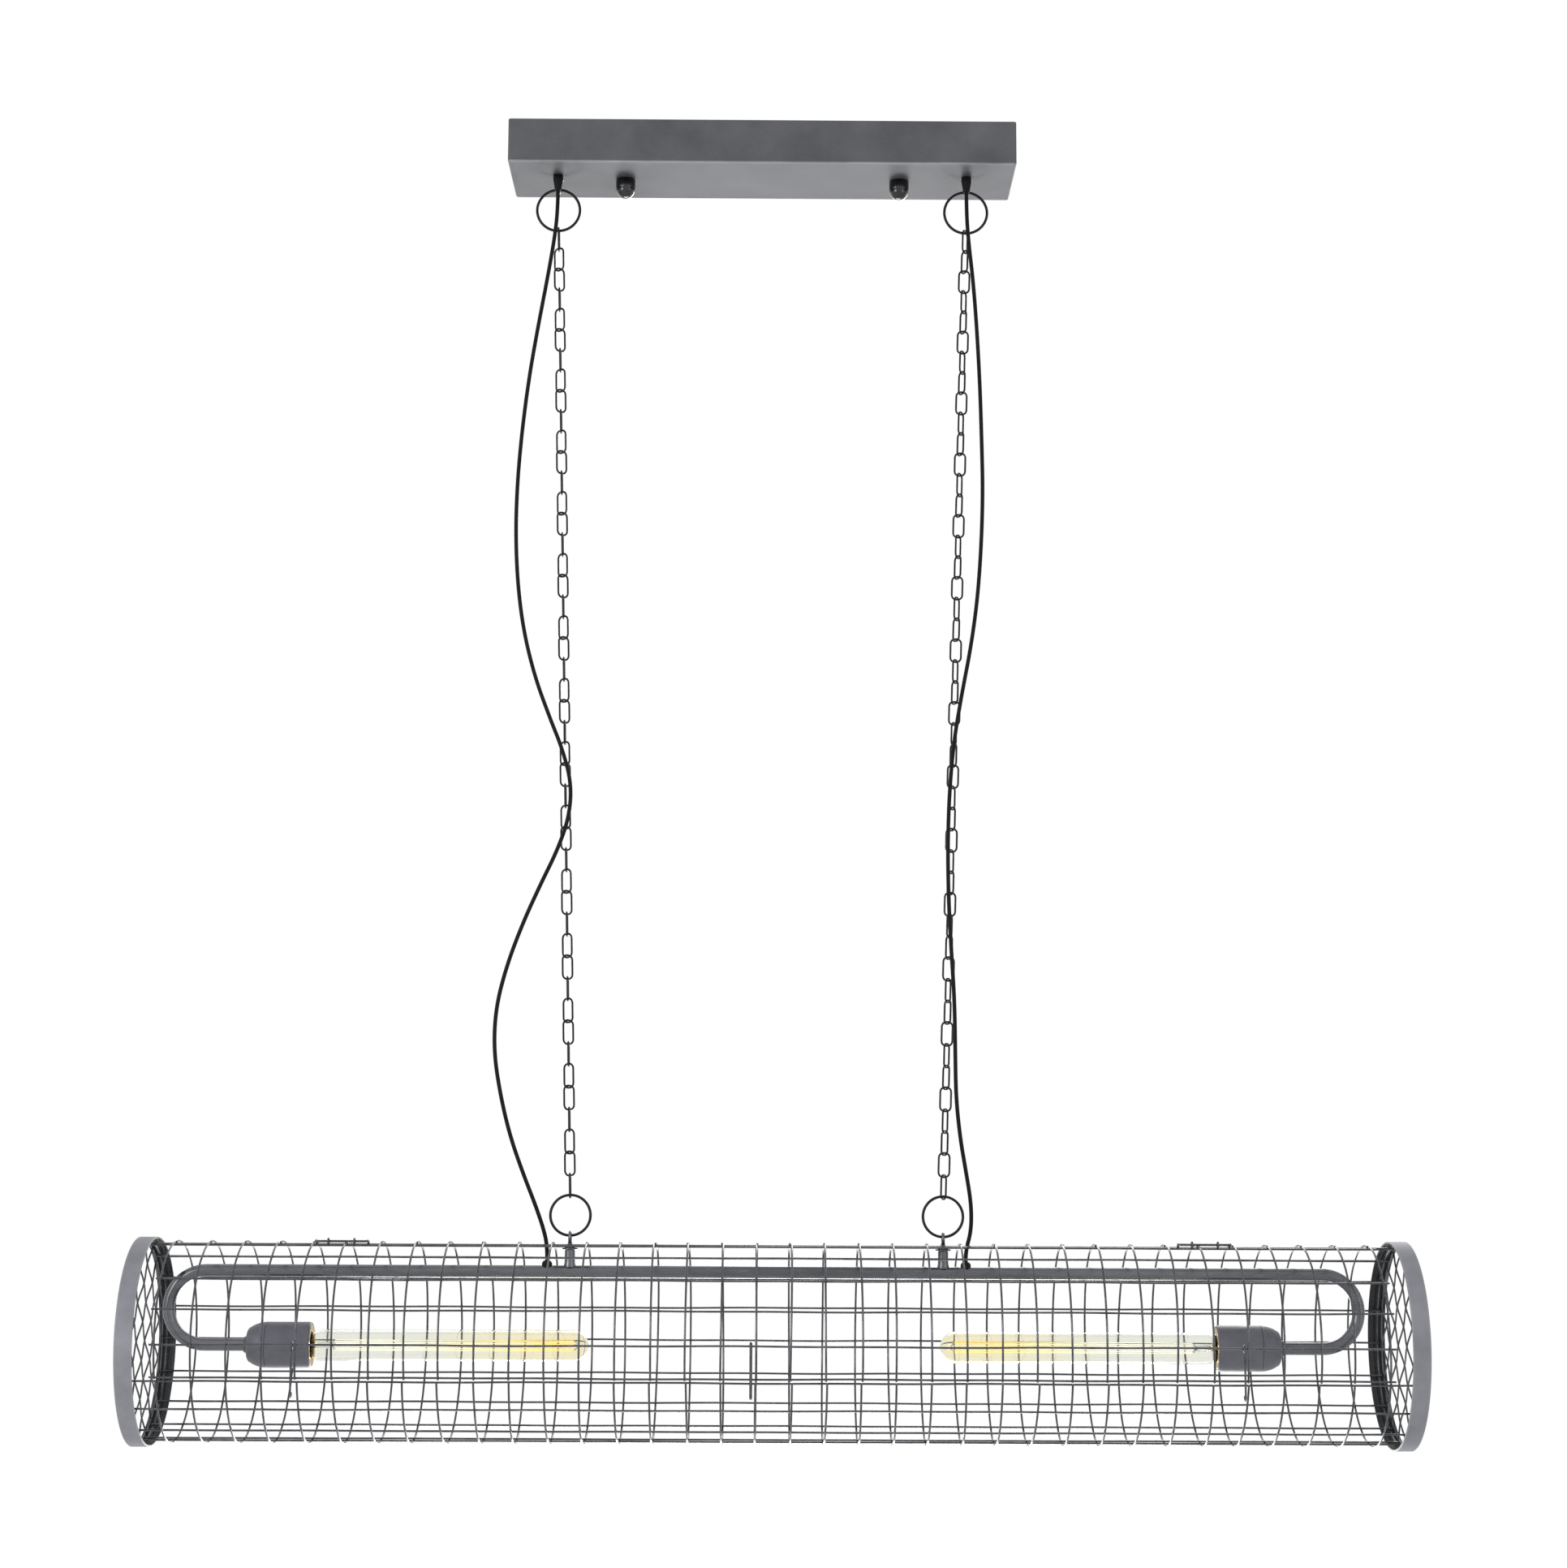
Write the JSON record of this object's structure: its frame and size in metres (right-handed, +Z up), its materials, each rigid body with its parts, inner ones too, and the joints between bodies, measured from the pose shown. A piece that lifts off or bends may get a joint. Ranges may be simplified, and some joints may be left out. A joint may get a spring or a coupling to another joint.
{
  "type": "cage pendant light",
  "caption": "Long wire-cage pendant light with tubular bulbs, hung on chains from a flat ceiling box, with a hinged cage door for changing bulbs.",
  "frame": {"origin": "on the ceiling plane, above the middle of the ceiling box", "axes": "+X along the lamp to the right, +Y away from the viewer, +Z up to the ceiling"},
  "size_m": [1.228, 0.1999, 1.3228],
  "materials": {
    "grey_paint": "satin",
    "zinc": "satin",
    "dark_steel": "satin",
    "wire": "satin",
    "black_plastic": "matte",
    "holder_black": "satin",
    "white_plastic": "matte",
    "cord_black": "matte",
    "brass": "satin",
    "clear_glass": "clear",
    "filament": "satin"
  },
  "bodies": {
    "canopy": {"canopy_box": "grey_paint", "ceiling_bracket": "zinc", "bracket_studs": "zinc", "hanging_loops": "zinc", "loop_nuts": "zinc", "cord_grips": "black_plastic", "grip_nuts": "black_plastic", "terminal_block": "white_plastic", "terminal_screws": "brass", "box_lead_left": "cord_black", "box_lead_right": "cord_black", "earth_screw": "brass"},
    "nut_left": {"cap_nut_left": "zinc"},
    "nut_right": {"cap_nut_right": "zinc"},
    "top_ring_left": {"upper_ring_left": "zinc"},
    "top_ring_right": {"upper_ring_right": "zinc"},
    "hanger_left": {"chain_left": "zinc", "cord_left": "cord_black"},
    "hanger_right": {"chain_right": "zinc", "cord_right": "cord_black"},
    "low_ring_left": {"lower_ring_left": "zinc"},
    "low_ring_right": {"lower_ring_right": "zinc"},
    "lamp": {"posts": "dark_steel", "saddle_plates": "dark_steel", "bent_tube": "dark_steel", "grommets": "black_plastic", "tube_leads": "cord_black", "holder_caps": "holder_black", "holder_skirts": "holder_black", "holder_inserts": "white_plastic", "screw_shells": "brass", "holder_contacts": "brass", "end_bands": "grey_paint", "end_grilles": "wire", "body_line_wires": "wire", "body_ring_wires": "wire", "hinge_rods": "wire"},
    "bulb_left": {"bulb_glass_left": "clear_glass", "bulb_cap_left": "brass", "filament_left": "filament"},
    "bulb_right": {"bulb_glass_right": "clear_glass", "bulb_cap_right": "brass", "filament_right": "filament"},
    "door": {"door_line_wires": "wire", "door_ring_wires": "wire", "hinge_eyes": "wire"},
    "hook_left": {"latch_left": "wire"},
    "hook_centre": {"latch_centre": "wire"},
    "hook_right": {"latch_right": "wire"}
  },
  "joints": [
    {"name": "nut_turn_left", "type": "hinge", "parent": "canopy", "child": "nut_left", "pos_m": [-0.1405, 0, -0.045], "axis": [0, 0, 1], "continuous": true},
    {"name": "nut_turn_right", "type": "hinge", "parent": "canopy", "child": "nut_right", "pos_m": [0.1405, 0, -0.045], "axis": [0, 0, 1], "continuous": true},
    {"name": "fore_aft_sway", "type": "hinge", "parent": "canopy", "child": "top_ring_left", "pos_m": [-0.209, 0, -0.0561], "axis": [1, 0, 0], "range_deg": [-12, 12], "deforming": ["cord_left", "cord_right"]},
    {"name": "fore_aft_sway_right", "type": "hinge", "parent": "canopy", "child": "top_ring_right", "pos_m": [0.209, 0, -0.0561], "axis": [1, 0, 0], "range_deg": [-13, 13]},
    {"name": "side_sway", "type": "hinge", "parent": "top_ring_left", "child": "hanger_left", "pos_m": [-0.209, 0, -0.078], "axis": [0, -1, 0], "range_deg": [-8, 8], "deforming": ["cord_left", "cord_right"]},
    {"name": "side_sway_right", "type": "hinge", "parent": "top_ring_right", "child": "hanger_right", "pos_m": [0.209, 0, -0.078], "axis": [0, -1, 0], "range_deg": [-9, 9]},
    {"name": "lower_ring_turn_left", "type": "hinge", "parent": "hanger_left", "child": "low_ring_left", "pos_m": [-0.1815, 0, -1.10043], "axis": [0, -1, 0], "range_deg": [-11, 11]},
    {"name": "lower_ring_turn_right", "type": "hinge", "parent": "hanger_right", "child": "low_ring_right", "pos_m": [0.1815, 0, -1.10043], "axis": [0, -1, 0], "range_deg": [-11, 11]},
    {"name": "lamp_roll", "type": "hinge", "parent": "low_ring_left", "child": "lamp", "pos_m": [-0.1815, 0, -1.11993], "axis": [1, 0, 0], "range_deg": [-10, 10], "deforming": ["cord_left", "cord_right"]},
    {"name": "bulb_turn_left", "type": "hinge", "parent": "lamp", "child": "bulb_left", "pos_m": [-0.3, 0, -1.22583], "axis": [1, 0, 0], "continuous": true},
    {"name": "bulb_turn_right", "type": "hinge", "parent": "lamp", "child": "bulb_right", "pos_m": [0.316, 0, -1.22583], "axis": [1, 0, 0], "continuous": true},
    {"name": "door_swing", "type": "hinge", "parent": "lamp", "child": "door", "pos_m": [0.0165, -0.018, -1.12653], "axis": [-1, 0, 0], "range_deg": [0, 100]},
    {"name": "hook_swing_left", "type": "hinge", "parent": "door", "child": "hook_left", "pos_m": [-0.4335, -0.09346, -1.22283], "axis": [-1, 0, 0], "range_deg": [0, 80]},
    {"name": "hook_swing_centre", "type": "hinge", "parent": "door", "child": "hook_centre", "pos_m": [-0.0045, -0.09346, -1.22283], "axis": [-1, 0, 0], "range_deg": [0, 80]},
    {"name": "hook_swing_right", "type": "hinge", "parent": "door", "child": "hook_right", "pos_m": [0.4575, -0.09346, -1.22283], "axis": [-1, 0, 0], "range_deg": [0, 80]}
  ],
  "couplings": [
    {"joint": "fore_aft_sway_right", "follows": "fore_aft_sway", "ratio": 1},
    {"joint": "side_sway_right", "follows": "side_sway", "ratio": 1},
    {"joint": "lower_ring_turn_left", "follows": "side_sway", "ratio": -1.1515},
    {"joint": "lower_ring_turn_right", "follows": "side_sway", "ratio": -1.1515}
  ]
}
